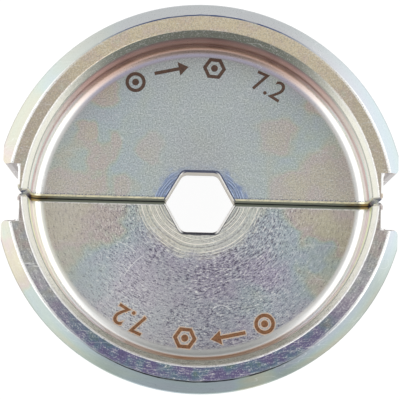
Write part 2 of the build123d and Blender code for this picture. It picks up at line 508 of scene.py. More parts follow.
def plated_grain_group():
    """The fine sparkling grain of a plated surface: a height, and masks of bright and dark specks."""
    nodes, given, result = new_group(
        "Plated grain",
        {"Place": POINT, "Along": POINT, "Scale": 5.0, "Streaks": NOTHING},
        {"Height": "Float", "Bright": "Float", "Dark": "Float"},
    )
    even = nodes.noise(given["Place"], given["Scale"], 2.0, 0.65)
    drawn = nodes.noise(given["Along"], given["Scale"], 2.0, 0.65)
    grain = nodes.between(given["Streaks"], even, drawn)
    nodes.feed(result["Height"], grain)
    nodes.feed(result["Bright"], nodes.step(grain, 0.51, 0.65))
    nodes.feed(result["Dark"], nodes.step(grain, 0.49, 0.35))
    return nodes.tree


def arc_strokes_group():
    """Short strokes along the turning, in clumps, that grow shorter outwards, and the shade under them."""
    nodes, given, result = new_group(
        "Arc strokes",
        {"Place": POINT, "Along": POINT, "Radius": NOTHING, "Sideways": NOTHING, "Web": NOTHING},
        {"Dark": "Float", "Bright": "Float", "Shade": "Float"},
    )
    long_strokes = nodes.noise(given["Along"], STROKE_SCALE, 2.0, 0.6)
    shortened = nodes.vector("MULTIPLY", given["Along"], (1.0, 2.2, 1.0))
    short_strokes = nodes.noise(shortened, STROKE_SCALE, 3.0, 0.7)
    strokes = nodes.between(nodes.step(given["Radius"], 10.5, 15.0), long_strokes, short_strokes)
    clumps = nodes.step(nodes.noise(given["Place"], 0.30, 1.0), 0.38, 0.58)
    where = nodes.product(given["Web"], nodes.step(given["Sideways"], *STROKES_SIDEWAYS), clumps)
    nodes.feed(result["Dark"], nodes.product(where, nodes.step(strokes, 0.48, 0.36)))
    nodes.feed(result["Bright"], nodes.product(where, nodes.step(strokes, 0.55, 0.68)))
    shade = nodes.product(given["Web"], nodes.step(given["Sideways"], *STROKE_SHADE_SIDEWAYS),
                          nodes.step(given["Radius"], 7.0, 9.8))
    nodes.feed(result["Shade"], shade)
    return nodes.tree


def rim_edges_group():
    """Painted highlights along the edges of the rim, broken up by the grain, and the rough dark line where
    the outer cone meets it.
    """
    nodes, given, result = new_group(
        "Rim edges",
        {"Along": POINT, "Radius": NOTHING, "Middle": NOTHING, "Grain": 0.5, "Inner Edge": NOTHING,
         "Seat Edge": NOTHING, "Inner Line": NOTHING, "Shade": SPAN},
        {"Inner": "Float", "Seat": "Float", "Dark Line": "Float"},
    )
    # Painted highlights: bright lines along the inner edge and the seat edge of the rim, strongest towards
    # the ends of the half, broken up by the grain.
    broken_up = nodes.step(given["Grain"], 0.25, 0.50)
    inner = nodes.step(given["Middle"], 0.45, 0.85, 0.9, given["Inner Line"])
    nodes.feed(result["Inner"], nodes.product(given["Inner Edge"], broken_up, inner))
    seat = nodes.step(given["Middle"], 0.5, 0.9, 1.0, 0.05)
    nodes.feed(result["Seat"], nodes.product(given["Seat Edge"], broken_up, seat))
    rough = nodes.sum("ADD", given["Radius"], nodes.waver(given["Along"], 4.0, 2.0, 0.16))
    line = nodes.band(rough, RIM_OUTER_RADIUS, RIM_OUTER_RADIUS + 0.09)
    dotted = nodes.step(nodes.noise(given["Along"], 3.0, 1.0), 0.34, 0.50, 0.35, 1.0)
    where = nodes.step(given["Middle"], *span(given, "Shade"))
    nodes.feed(result["Dark Line"], nodes.product(line, dotted, where))
    return nodes.tree


def parting_groove_group():
    """The groove of the two broken parting edges: its colour, and masks of it and of what lies beside it."""
    nodes, given, result = new_group(
        "Parting groove",
        {"Place": POINT, "Radius": NOTHING, "Height": NOTHING, "From Parting": NOTHING, "Inner": SAGE,
         "Outer": WHITE, "End": GOLD, "Strip": SPAN, "Ends": SPAN, "Nose Width": 0.3},
        {"Color": "Color", "Bevel": "Float", "Burr": "Float", "Nose": "Float", "Roll": "Float"},
    )
    place, radius, from_parting = given["Place"], given["Radius"], given["From Parting"]
    past_recess = nodes.step(radius, RECESS_RADIUS, RECESS_RADIUS + 0.2)
    in_recess = nodes.rest(past_recess)
    inner = nodes.mix(nodes.step(radius, *span(given, "Ends")), given["Inner"], given["End"])
    colour = nodes.mix(nodes.step(from_parting, *span(given, "Strip")), inner, given["Outer"])
    mottled = nodes.step(nodes.noise(place, 2.4, 3.0, 0.6), 0.54, 0.40, 0.0, 0.5)
    colour = nodes.mix(mottled, colour, given["Inner"])
    # Painted shade: a thin black line at the bottom of the groove, where the two halves meet.
    nodes.feed(result["Color"], nodes.mix(nodes.step(from_parting, 0.10, 0.02), colour, SOOT))
    bevel = nodes.step(from_parting, BEVEL_WIDTH, BEVEL_WIDTH + 0.03, 1.0, 0.0)
    nodes.feed(result["Bevel"], nodes.product(bevel, in_recess))
    burr = nodes.band(from_parting, BEVEL_WIDTH + 0.05, BEVEL_WIDTH + 0.14)
    patchy = nodes.step(nodes.noise(place, 5.0, 2.0), 0.42, 0.60)
    nodes.feed(result["Burr"], nodes.product(burr, in_recess, patchy))
    # The nose is blotched at its face and runs down the side as a plain line.
    blotches = nodes.sum("MAXIMUM", nodes.step(nodes.noise(place, 1.6, 3.0), 0.38, 0.52),
                         nodes.step(given["Height"], LEAD_IN_FOOT_Z + 0.4, LEAD_IN_FOOT_Z, 0.0, 0.55))
    nose = nodes.step(from_parting, given["Nose Width"], 0.15)
    nodes.feed(result["Nose"], nodes.product(past_recess, nose, blotches))
    roll = nodes.step(from_parting, 0.30, BEVEL_WIDTH, 1.0, 0.0)
    nodes.feed(result["Roll"], nodes.product(roll, in_recess))
    return nodes.tree


def end_notch_group():
    """Masks of a notch at the end of the parting line: its edge, which gets a painted highlight, its shoulder
    and the centre mark.
    """
    nodes, given, result = new_group(
        "End notch",
        {"Sideways": NOTHING, "From Parting": NOTHING, "Height": NOTHING},
        {"Line": "Float", "Shoulder": "Float", "Mark": "Float"},
    )
    sideways, from_parting, height = given["Sideways"], given["From Parting"], given["Height"]
    under_shoulder = nodes.step(from_parting, NOTCH_HALF_HEIGHT + 0.11, NOTCH_HALF_HEIGHT + 0.05)
    at_wall = nodes.step(sideways, NOTCH_HALF_SPAN - 0.31, NOTCH_HALF_SPAN - 0.25)
    off_parting = nodes.step(from_parting, 0.8, 1.1)
    at_face = nodes.step(height, RIM_FACE_Z - 0.35, RIM_FACE_Z - 0.25)
    nodes.feed(result["Line"], nodes.product(at_wall, under_shoulder, off_parting, at_face))
    past_wall = nodes.step(sideways, NOTCH_HALF_SPAN + 0.07, NOTCH_HALF_SPAN + 0.15)
    nodes.feed(result["Shoulder"], nodes.product(past_wall, under_shoulder))
    from_mark = nodes.distance(nodes.point(sideways, from_parting, height), CENTRE_MARK)
    nodes.feed(result["Mark"], nodes.step(from_mark, CENTRE_MARK_RADIUS + 0.06, CENTRE_MARK_RADIUS))
    return nodes.tree


def opening_edge_group():
    """Masks of the hexagon's inner wall, broken edge and outline, and the colour of the broken edge."""
    nodes, given, result = new_group(
        "Opening edge",
        {"Sideways": NOTHING, "Height": NOTHING, "From Opening": NOTHING, "Web Face": NOTHING,
         "Outline": SPAN, "Break": SPAN, "Line": SOOT, "Edge": WHITE},
        {"Inside": "Float", "Outline": "Float", "Break": "Float", "Color": "Color"},
    )
    from_opening = given["From Opening"]
    below_face = nodes.step(given["Height"], WEB_FACE_Z, WEB_FACE_Z - 0.15)
    nodes.feed(result["Inside"], nodes.product(nodes.step(from_opening, 0.12, 0.04), below_face))
    outline = nodes.band(from_opening, *span(given, "Outline"))
    nodes.feed(result["Outline"], nodes.product(outline, given["Web Face"]))
    broken = nodes.band(from_opening, *span(given, "Break"), 0.03)
    nodes.feed(result["Break"], nodes.product(broken, given["Web Face"]))
    # Painted light: the broken edge is painted dark as shade on the level sides and bright as a highlight on
    # the slanted ones.
    slanted = nodes.step(given["Sideways"], 1.8, 2.3)
    nodes.feed(result["Color"], nodes.mix(slanted, given["Line"], given["Edge"]))
    return nodes.tree


GROUPS = {
    "place": place_group(),
    "zones": zones_group(),
    "film": film_group(),
    "film course": film_course_group(),
    "film spot": film_spot_group(),
    "broad shade": broad_shade_group(),
    "turning marks": turning_marks_group(),
    "hair scratches": hair_scratches_group(),
    "curved scratch": curved_scratch_group(),
    "grain": plated_grain_group(),
    "arc strokes": arc_strokes_group(),
    "rim edges": rim_edges_group(),
    "groove": parting_groove_group(),
    "notch": end_notch_group(),
    "opening": opening_edge_group(),
}


def use(nodes, name, **inputs):
    """One of the shared groups, placed in a material, as its outputs."""
    node = nodes.add("ShaderNodeGroup", node_tree=GROUPS[name])
    for label, value in split_spans(inputs):
        nodes.feed(node.inputs[label.replace("_", " ")], value)
    return node.outputs


def new_material(name):
    """An empty material with its shader, as (material, nodes, shader)."""
    material = bpy.data.materials.new(name)
    material.use_nodes = True
    material.node_tree.nodes.clear()
    nodes = Nodes(material.node_tree)
    shader = nodes.add("ShaderNodeBsdfPrincipled")
    nodes.add("ShaderNodeOutputMaterial", shader.outputs[0])
    return material, nodes, shader


# Spots of the web where the film has another thickness: X, Y, radius and the thickness there.
UPPER_SPOTS = (
    (-16.0, 6.2, 1.6, 0.52),
    (-11.3, 9.3, 2.6, 0.66),
    (-5.9, 6.4, 1.5, 0.22),
    (-12.1, 5.3, 1.9, 0.24),
    (-13.8, 8.6, 1.1, 0.26),
    (-10.5, 7.5, 0.9, 0.28),
    (-16.8, 1.6, 2.0, 0.26),
    (-13.0, 1.4, 1.8, 0.20),
    (-9.4, 1.6, 1.6, 0.26),
    (-11.4, 12.9, 1.5, 0.18),
    (3.4, 15.6, 1.7, 0.68),
    (9.5, 11.6, 2.0, 0.66),
    (11.9, 9.3, 1.9, 0.64),
    (13.8, 6.9, 1.7, 0.62),
    (13.9, 12.0, 1.2, 0.40),
    (9.0, 8.2, 2.2, 0.16),
    (16.2, 3.4, 3.4, 0.18),
    (10.5, 1.2, 2.2, 0.14),
)
LOWER_SPOTS = (
    (-16.0, -2.6, 3.8, 0.08),
    (-11.3, -3.0, 2.2, 0.24),
    (-15.6, -7.8, 1.8, 0.44),
    (-12.6, -10.0, 2.4, 0.74),
    (-5.7, -8.9, 3.8, 1.00),
    (2.0, -8.4, 3.4, 0.97),
    (7.0, -8.4, 3.0, 1.00),
    (6.1, -5.2, 1.5, 0.78),
    (6.5, -11.6, 1.7, 0.66),
    (9.8, -3.6, 2.2, 0.68),
    (12.4, -1.0, 1.7, 0.30),
    (16.0, -3.2, 3.2, 0.03),
    (17.2, -0.6, 1.8, 0.30),
    (14.6, -5.6, 1.7, 0.70),
    (14.8, -9.0, 2.8, 0.42),
    (14.4, -7.0, 0.9, 0.66),
)

# Spots of the same kind on the outer cones.
UPPER_CONE_SPOTS = (
    (-21.0, 9.0, 4.5, 0.42),
    (-14.5, 17.5, 4.5, 0.50),
)
LOWER_CONE_SPOTS = (
    (-21.8, -8.6, 2.3, 0.04),
    (7.0, -21.6, 2.2, 0.32),
)

# Broad areas of the web that are lighter or darker: X, Y, radius, colour and amount.
UPPER_SHADES = (
    (0.0, 5.2, 3.6, GREY_BROWN, 0.22),
    (9.5, 9.5, 4.4, GREY_BROWN, 0.14),
    (16.0, 4.0, 2.6, GREY_BROWN, 0.14),
)
LOWER_SHADES = (
    (-7.0, -13.5, 6.4, SILVER, 0.34),
    (9.5, -9.5, 5.0, SLATE_VIOLET, 0.10),
    (16.0, -5.0, 3.2, MOSS, 0.18),
)

# Curved hair scratches: X and Y of the middle, half the length, and X and Y of the centre of the curve.
LOWER_SCRATCHES = (
    (-7.9, -7.7, 2.0, -3.4, -11.7),
    (-8.6, -5.4, 1.7, -10.9, -9.8),
    (2.9, -12.3, 1.4, 2.9, -13.7),
)

# How each half looks, surface by surface. A film has a thickness for the left end, the middle and the right
# end of the half. A pair holds the values at the start and the end of a change, or the places where it
# starts and ends. A stain has its colours at the left and at the right, and its strength.
UPPER_LOOK = {
    "axis": -HALF_SAW_CUT,
    "web_film": (0.52, 0.64, 0.48),
    "web_spots": UPPER_SPOTS,
    "web_tint": (0.26, 0.76),
    "web_base": TEAL_ZINC,
    "web_lift": (0.16, 0.0),
    "shades": UPPER_SHADES,
    "fillet": ((0.0, LILAC), (0.25, LILAC), (0.55, SHELL), (1.0, ROSE_BROWN)),
    "fillet_turn": (0.50, 0.88),
    "fillet_shift": -0.04,
    "fillet_end": SILVER,
    "wall": ((0.35, ROSE_BROWN), (0.50, SHELL), (0.66, ROSE), (0.92, UMBER)),
    "wall_ends": ((0.38, SHELL), (0.47, DEEP_ROSE), (0.58, PALE_MINT), (0.75, IVORY)),
    "lead_in": MOSS,
    "rim_end": OLIVE_TAN,
    "rim_middle": TAN,
    "rim_film": (0.24, 0.10, 0.22),
    "rim_spread": 0.8,
    "rim_tint": 0.45,
    "rim_shade_gamma": 1.0,
    "cone_film": (0.0, 0.78, 0.62),
    "cone_spots": UPPER_CONE_SPOTS,
    "cone_spread": 0.16,
    "cone_tint": (0.65, 0.28),
    "cone_painted_shade": (0.0, 0.0),
    "dark_speck": SLATE,
    "bright_speck": BRIGHT_ZINC,
    "grain": 0.60,
    "rim_grain": 0.36,
    "smooth_ends": 0.85,
    "streaks": 0.0,
    "strokes": 0.12,
    "strokes_shade": 0.0,
    "scratches": (),
    "rim_hairs": 0.0,
    "ring_stain": (STEEL_BLUE, STEEL_BLUE, 0.85),
    "ring_reach": (5.3, 6.3),
    "ring_middle": (0.72, 1.08),
    "bright_ring": FROST_BLUE,
    "bright_rings": 0.9,
    "dark_ring": NAVY,
    "dark_rings": 0.7,
    "inner_line": 0.0,
    "seat_line": NAVY,
    "seat_shade": (0.80, 0.98),
    "groove_outer": PALE_GOLD,
    "groove_inner": SAGE,
    "groove_strip": (0.24, 0.38),
    "groove_end": BRONZE,
    "groove_ends": (17.0, 18.6),
    "burr": 0.8,
    "nose": INK_BLUE,
    "nose_width": 0.60,
    "inside": WARM_TAN,
    "hex_outline": (0.18, 0.27),
    "hex_bright": (-0.02, 0.13),
    "hex_line": INK_BLUE,
    "edge_dull": 0.5,
}
LOWER_LOOK = {
    "axis": HALF_SAW_CUT,
    "web_film": (0.44, 0.82, 0.44),
    "web_spots": LOWER_SPOTS,
    "web_tint": (0.50, 0.72),
    "web_base": BLUE_ZINC,
    "web_lift": (0.24, 0.0),
    "shades": LOWER_SHADES,
    "fillet": ((0.0, ZINC), (0.70, ZINC), (0.88, ORANGE_TAN), (1.0, PALE_ORANGE)),
    "fillet_turn": (0.77, 1.01),
    "fillet_shift": 0.07,
    "fillet_end": IVORY,
    "wall": ((0.35, SILVER), (0.50, PALE_ORANGE), (0.78, PALE_ORANGE), (0.92, SAGE)),
    "wall_ends": ((0.38, SILVER), (0.47, DEEP_ROSE), (0.58, CREAM), (0.75, PALE_LIME)),
    "lead_in": SAGE,
    "rim_end": GREY_BROWN,
    "rim_middle": SLATE_VIOLET,
    "rim_film": (0.26, 0.86, 0.36),
    "rim_spread": 0.9,
    "rim_tint": 0.68,
    "rim_shade_gamma": 1.80,
    "cone_film": (0.44, 0.60, 0.62),
    "cone_spots": LOWER_CONE_SPOTS,
    "cone_spread": 0.50,
    "cone_tint": (0.62, 0.85),
    "cone_painted_shade": (0.18, 0.34),
    "dark_speck": SHADOW_VIOLET,
    "bright_speck": SILVER,
    "grain": 1.0,
    "rim_grain": 0.40,
    "smooth_ends": 0.35,
    "streaks": 0.5,
    "strokes": 0.85,
    "strokes_shade": 0.22,
    "scratches": LOWER_SCRATCHES,
    "rim_hairs": 0.7,
    "ring_stain": (CREAM, PALE_SAGE, 0.74),
    "ring_reach": (6.9, 8.4),
    "ring_middle": (2.0, 3.0),
    "bright_ring": PALE_CREAM,
    "bright_rings": 1.0,
    "dark_ring": SHADOW_OLIVE,
    "dark_rings": 0.6,
    "inner_line": 0.9,
    "seat_line": SOOT,
    "seat_shade": (0.76, 0.96),
    "groove_outer": WHITE,
    "groove_inner": GREY_GREEN,
    "groove_strip": (0.34, 0.46),
    "groove_end": GOLD,
    "groove_ends": (18.9, 19.8),
    "burr": 0.0,
    "nose": SLATE,
    "nose_width": 0.25,
    "inside": ZINC,
    "hex_outline": (0.25, 0.31),
    "hex_bright": (0.04, 0.24),
    "hex_line": SOOT,
    "edge_dull": 0.9,
}


class HalfFinish:
    """One half's finish while it is built: its nodes, its look, and the groups that several parts use."""

    def __init__(self, nodes, look):
        self.nodes = nodes
        self.look = look
        self.at = use(nodes, "place", Axis_Y=look["axis"])
        self.zones = use(nodes, "zones", Radius=self.at["Radius"], Height=self.at["Height"])
        self.grain = self.use("grain", Scale=GRAIN_SCALE, Streaks=look["streaks"])
        self.grain_amount = grain_amount(self)
        self.rings = self.use("turning marks", Reach=look["ring_reach"], Fade=look["ring_middle"])
        self.groove = self.use("groove", Inner=look["groove_inner"], Outer=look["groove_outer"],
                               End=look["groove_end"], Strip=look["groove_strip"],
                               Ends=look["groove_ends"], Nose_Width=look["nose_width"])
        self.opening = self.use("opening", Outline=look["hex_outline"], Break=look["hex_bright"],
                                Line=look["hex_line"])

    def use(self, name, **inputs):
        """A shared group. It is told where a point lies and on which surface, as far as it asks for that."""
        asked = [item.name for item in GROUPS[name].interface.items_tree if item.in_out == "INPUT"]
        known = {label: outputs[label] for outputs in (self.at, self.zones) for label in asked
                 if label in outputs}
        return use(self.nodes, name, **{**known, **inputs})


def grain_amount(half):
    """How strong the grain is: most on the web, less on the rim and the lead-in, and a trace elsewhere."""
    nodes, at, zones, look = half.nodes, half.at, half.zones, half.look
    web_share = nodes.between(nodes.step(at["Sideways"], *GRAIN_SIDEWAYS), look["smooth_ends"], 1.0)
    web = nodes.product(zones["Web"], web_share)
    lead_in = nodes.product(zones["Lead-in"], nodes.step(at["Middle"], 0.3, 0.8, 0.1, 0.45))
    plain = nodes.product(nodes.sum("ADD", web, lead_in), look["grain"])
    rim = nodes.product(zones["Rim"], look["rim_grain"])
    return nodes.sum("ADD", nodes.sum("ADD", plain, rim), 0.08, clamp=True)


def film_thickness(half, film):
    """The thickness of the film, from the left end of the half over its middle to its right end."""
    left, middle, right = film
    return half.use("film course", Ends=(left, right), Top=middle)["Thickness"]


def with_spots(half, height, thickness, spots):
    """The thickness of the film with its spots, whose outlines wander."""
    place = half.at["Place"]
    wander = half.nodes.waver(place, 0.45, 1.0, 3.2)
    for x, y, radius, spot in spots:
        thickness = use(half.nodes, "film spot", Place=place, Wander=wander, Thickness=thickness,
                        Centre=(x, y, height), Radius=radius, Spot=spot)["Thickness"]
    return thickness


def web_colour(half):
    """The web: a film that is stronger sideways, brighter at its left end, with broad areas of shade."""
    nodes, at, look = half.nodes, half.at, half.look
    thickness = with_spots(half, WEB_FACE_Z, film_thickness(half, look["web_film"]), look["web_spots"])
    tint = nodes.step(at["Sideways"], *FILM_SIDEWAYS, *look["web_tint"])
    colour = half.use("film", Thickness=thickness, Spread=0.28, Scale=WEB_FILM_SCALE, Amount=tint,
                      Base=look["web_base"])["Color"]
    lift = nodes.step(at["Across"], -0.5, 0.5, *look["web_lift"])
    colour = nodes.mix(nodes.product(nodes.step(at["Sideways"], *LIFT_SIDEWAYS), lift), colour, SILVER)
    for x, y, radius, tone, amount in look["shades"]:
        colour = use(nodes, "broad shade", Place=at["Place"], Color=colour, Centre=(x, y, WEB_FACE_Z),
                     Radius=radius, Tone=tone, Amount=amount)["Color"]
    return colour


def fillet_colour(half):
    """The fillet at the foot of the wall: bands round the middle, partly a painted reflection of the wall,
    and pale ends as a painted highlight, under a rose line.
    """
    nodes, at, look = half.nodes, half.at, half.look
    # Painted reflection, in part: the bands round the middle stand for the wall above, seen in the fillet.
    bands = nodes.ramp(nodes.step(at["Radius"], WEB_RADIUS - 0.3, RECESS_RADIUS), *look["fillet"])
    # Painted highlight: the fillet is near white towards its ends, where the lamps at the sides shine in it.
    ends = nodes.mix(nodes.step(at["Across"], -0.9, -0.7), look["fillet_end"], SILVER)
    rose_line = nodes.step(at["Radius"], RECESS_RADIUS - 0.20, RECESS_RADIUS - 0.05, 0.0, 0.5)
    ends = nodes.mix(rose_line, ends, DEEP_ROSE)
    # The bands of the middle are shifted a little to one side.
    turned = nodes.sum("ADD", at["Middle"], nodes.product(at["Across"], look["fillet_shift"]))
    return nodes.mix(nodes.step(turned, *look["fillet_turn"]), ends, bands)


def wall_colour(half):
    """The wall of the recess, from its foot to its top, with pale ends that are partly a painted highlight.
    """
    nodes, at, look = half.nodes, half.at, half.look
    level = nodes.sum("DIVIDE", at["Height"], RIM_FACE_Z)
    # Painted highlight, in part: towards the ends the wall takes pale colours, where the lamps at the sides
    # shine in it.
    share = nodes.step(at["Middle"], 0.15, 0.80, 0.10, 1.0)
    return nodes.mix(share, nodes.ramp(level, *look["wall_ends"]), nodes.ramp(level, *look["wall"]))


def lead_in_colour(half):
    """The lead-in at the mouth of the recess: ivory towards its ends as a painted highlight, with a thin dark
    line at its foot.
    """
    nodes, at, look = half.nodes, half.at, half.look
    # Painted highlight: the ends of the lead-in are ivory.
    colour = nodes.mix(nodes.step(at["Middle"], 0.50, 0.92), IVORY, look["lead_in"])
    foot = nodes.band(at["Radius"], RECESS_RADIUS + 0.03, RECESS_RADIUS + 0.10)
    foot_line = nodes.product(foot, nodes.step(at["Middle"], 0.95, 0.60, 0.0, 0.55))
    return nodes.mix(foot_line, colour, MOSS)


def rim_colour(half):
    """The face of the rim: its film grows stronger towards the middle, and darker there as the look asks:
    partly the plating's own deeper colour, partly painted shade for the dark reflection overhead.
    """
    nodes, middle, look = half.nodes, half.at["Middle"], half.look
    base = nodes.mix(nodes.step(middle, 0.47, 0.93), look["rim_end"], look["rim_middle"])
    tint = nodes.step(middle, 0.62, 0.97, 0.30, look["rim_tint"])
    film = half.use("film", Thickness=film_thickness(half, look["rim_film"]), Spread=look["rim_spread"],
                    Scale=RIM_FILM_SCALE, Amount=tint, Base=base)["Color"]
    # Painted shade, in part: the gamma darkens and deepens the middle of the rim, as the dark reflection
    # overhead would.
    depth = nodes.step(middle, 0.55, 0.95, 1.0, look["rim_shade_gamma"])
    return nodes.add("ShaderNodeGamma", film, depth).outputs[0]


def cone_colour(half):
    """The outer cone: a film drawn out along the turning, with painted shade on both sides of the middle."""
    nodes, at, look = half.nodes, half.at, half.look
    across_cone = nodes.step(at["Radius"], RIM_OUTER_RADIUS, OUTER_RADIUS, 0.05, -0.05)
    thickness = nodes.sum("ADD", film_thickness(half, look["cone_film"]), across_cone)
    thickness = with_spots(half, RIM_FACE_Z, thickness, look["cone_spots"])
    tint = nodes.step(at["Middle"], 0.50, 0.90, *look["cone_tint"])
    film = half.use("film", Place=at["Along"], Thickness=thickness, Spread=look["cone_spread"],
                    Scale=CONE_FILM_SCALE, Amount=tint, Base=ZINC)["Color"]
    # Painted shade: the cone is darkened on both sides of the middle, by as much as the look gives for the
    # left and the right.
    beside = nodes.band(nodes.sum("ABSOLUTE", at["Across"]), 0.45, 0.86, 0.14)
    dull = nodes.product(beside, nodes.step(at["Across"], -0.3, 0.3, *look["cone_painted_shade"]))
    return nodes.mix(1.0, film, nodes.rest(dull), "MULTIPLY")


# The turned surfaces outside the web, in the order in which they cover each other.
SURFACES = (
    ("Fillet", fillet_colour),
    ("Wall", wall_colour),
    ("Lead-in", lead_in_colour),
    ("Rim", rim_colour),
    ("Cone", cone_colour),
)


def grain_layers(half):
    """Dark and bright specks."""
    yield half.grain["Dark"], half.grain_amount, half.look["dark_speck"]
    yield half.grain["Bright"], half.grain_amount, half.look["bright_speck"]


def stroke_layers(half):
    """Short strokes along the turning, over the shade under them."""
    strokes, look = half.use("arc strokes"), half.look
    yield strokes["Shade"], look["strokes_shade"], look["dark_speck"]
    yield strokes["Dark"], look["strokes"], look["dark_speck"]
    yield strokes["Bright"], look["strokes"], look["bright_speck"]


def ring_layers(half):
    """The stain beside the opening, whose left and right colours and strength are given, and its rings."""
    nodes, rings, look = half.nodes, half.rings, half.look
    left, right, strength = look["ring_stain"]
    yield rings["Stain"], strength, nodes.mix(nodes.step(half.at["Across"], -0.4, 0.4), left, right)
    yield rings["Dark"], look["dark_rings"], look["dark_ring"]
    yield rings["Bright"], look["bright_rings"], look["bright_ring"]


def scratch_layers(half):
    """Hair scratches everywhere and on the rim, and single curved ones on the web."""
    look = half.look
    yield half.use("hair scratches", Scale=SCRATCH_SCALE)["Mask"], 0.4, BRIGHT_ZINC
    hairs = half.use("hair scratches", Scale=RIM_HAIR_SCALE)["Mask"]
    yield hairs, half.nodes.product(half.zones["Rim"], look["rim_hairs"]), SILVER
    single = 0.0
    for x, y, half_length, centre_x, centre_y in look["scratches"]:
        single = half.use("curved scratch", Mask=single, Spot=(x, y, WEB_FACE_Z), Half_Length=half_length,
                          Centre=(centre_x, centre_y, WEB_FACE_Z),
                          Curve=math.dist((x, y), (centre_x, centre_y)))["Mask"]
    yield single, 0.6, WHITE


def edge_layers(half):
    """Painted highlights on the edges of the rim, and the dark line at its outer edge."""
    edges = half.use("rim edges", Grain=half.grain["Height"], Inner_Line=half.look["inner_line"],
                     Shade=half.look["seat_shade"])
    yield edges["Inner"], 1.0, SILVER
    yield edges["Seat"], 1.0, WHITE
    yield edges["Dark Line"], 1.0, half.look["seat_line"]


def groove_layers(half):
    """The groove at the parting line, the dark burr beside it and the nose at its end."""
    yield half.groove["Bevel"], 1.0, half.groove["Color"]
    yield half.groove["Burr"], half.look["burr"], INK_BLUE
    yield half.groove["Nose"], 1.0, half.look["nose"]


def notch_layers(half):
    """A painted highlight along the edge of the end notch, the grey-brown shoulder over it, and a painted
    highlight in the centre mark.
    """
    notch = half.use("notch")
    # Painted highlights: the edge of the notch and the inside of the centre mark are white.
    yield notch["Line"], 1.0, WHITE
    yield notch["Shoulder"], 1.0, GREY_BROWN
    yield notch["Mark"], 1.0, WHITE


def opening_layers(half):
    """The inner wall of the opening, its outline, and its broken edge with painted shade and highlight."""
    yield half.opening["Inside"], 0.85, half.look["inside"]
    yield half.opening["Outline"], 1.0, half.look["hex_line"]
    yield half.opening["Break"], 1.0, half.opening["Color"]


# What lies over the colours of the surfaces, from the lowest layer to the highest.
LAYERS = (
    grain_layers,
    stroke_layers,
    ring_layers,
    scratch_layers,
    edge_layers,
    groove_layers,
    notch_layers,
    opening_layers,
)


def plating_colour(half):
    """The colour of every surface, under all layers. Each layer has a mask, a strength and a colour."""
    colour = web_colour(half)
    for zone, surface in SURFACES:
        colour = half.nodes.mix(half.zones[zone], colour, surface(half))
    for layers in LAYERS:
        for mask, strength, tone in layers(half):
            colour = half.nodes.mix(half.nodes.product(mask, strength), colour, tone)
    return colour


def plating_roughness(half):
    """Flat faces and the lead-in are rougher than the rest."""
    nodes, zones = half.nodes, half.zones
    flat = nodes.sum("ADD", zones["Web"], zones["Rim"])
    rough = nodes.sum("ADD", PLAIN_ROUGHNESS, nodes.product(flat, FLAT_ROUGHNESS))
    rough = nodes.sum("ADD", rough, nodes.product(zones["Lead-in"], LEAD_IN_ROUGHNESS))
    return nodes.sum("ADD", rough, nodes.product(half.grain["Height"], GRAIN_ROUGHNESS))


def plating_metalness(half):
    """Metal, but for the ends of the wall and the broken edge of the opening, which look dull."""
    nodes = half.nodes
    wall = nodes.product(half.zones["Wall"], nodes.step(half.at["Middle"], 0.35, 0.80, 0.85, 0.0))
    edge = nodes.product(half.opening["Break"], half.look["edge_dull"])
    return nodes.rest(nodes.sum("MAXIMUM", wall, edge))


def plating_relief(half):
    """The grain and the rings in low relief, over the rolled edge of the groove."""
    nodes = half.nodes
    edge_roll = {"Strength": 1.0, "Distance": GROOVE_ROLL_DEPTH * MM, "Height": half.groove["Roll"]}
    grain = nodes.product(half.grain["Height"], nodes.sum("ADD", half.grain_amount, 0.1))
    rings = nodes.product(half.rings["Height"], nodes.sum("ADD", half.rings["Reach"], 0.15))
    relief = {"Strength": 0.35, "Distance": GRAIN_DEPTH * MM, "Height": nodes.sum("ADD", grain, rings)}
    relief["Normal"] = nodes.add("ShaderNodeBump", edge_roll).outputs[0]
    return nodes.add("ShaderNodeBump", relief).outputs[0]


def plating(name, look):
    """Passivated zinc over turned steel, for one half."""
    material, nodes, shader = new_material(name)
    half = HalfFinish(nodes, look)
    nodes.feed(shader.inputs["Base Color"], plating_colour(half))
    nodes.feed(shader.inputs["Roughness"], plating_roughness(half))
    nodes.feed(shader.inputs["Metallic"], plating_metalness(half))
    nodes.feed(shader.inputs["Normal"], plating_relief(half))
    return material


def etching(name, dark, light):
    """An etched mark: a dull oxide colour that varies a little along its strokes."""
    material, nodes, shader = new_material(name)
    at = use(nodes, "place")
    grain = use(nodes, "grain", Place=at["Place"], Along=at["Along"], Scale=ETCHING_SCALE)
    nodes.feed(shader.inputs["Base Color"], nodes.mix(nodes.step(grain["Height"], 0.35, 0.65), dark, light))
    nodes.feed(shader.inputs["Roughness"], nodes.sum("ADD", 0.45, nodes.product(grain["Height"], 0.2)))
    nodes.feed(shader.inputs["Metallic"], 0.2)
    return material


def dress_halves():
    """The plating of each half takes the place of its plain material."""
    for node, look in (("upper_half_die", UPPER_LOOK), ("lower_half_die", LOWER_LOOK)):
        material = plating(node.replace("half_die", "plating"), look)
        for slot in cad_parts[node].material_slots:
            slot.material = material


def raise_plate(shape, face, rise):
    """Makes a flat face into a thin closed plate."""
    made = bmesh.ops.extrude_face_region(shape, geom=[face])["geom"]
    top = [part for part in made if isinstance(part, bmesh.types.BMVert)]
    bmesh.ops.translate(shape, verts=top, vec=(0, 0, rise))


def stroke_shape(shape, points, rise):
    """A flat sign with these corners, as a plate that stands on z = 0."""
    raise_plate(shape, shape.faces.new([shape.verts.new((x, y, 0)) for x, y in points]), rise)


def dot_shape(shape, radius, rise):
    """A round dot."""
    edge = bmesh.ops.create_circle(shape, cap_ends=True, segments=MARK_DOT_SEGMENTS, radius=radius)["verts"]
    raise_plate(shape, edge[0].link_faces[0], rise)


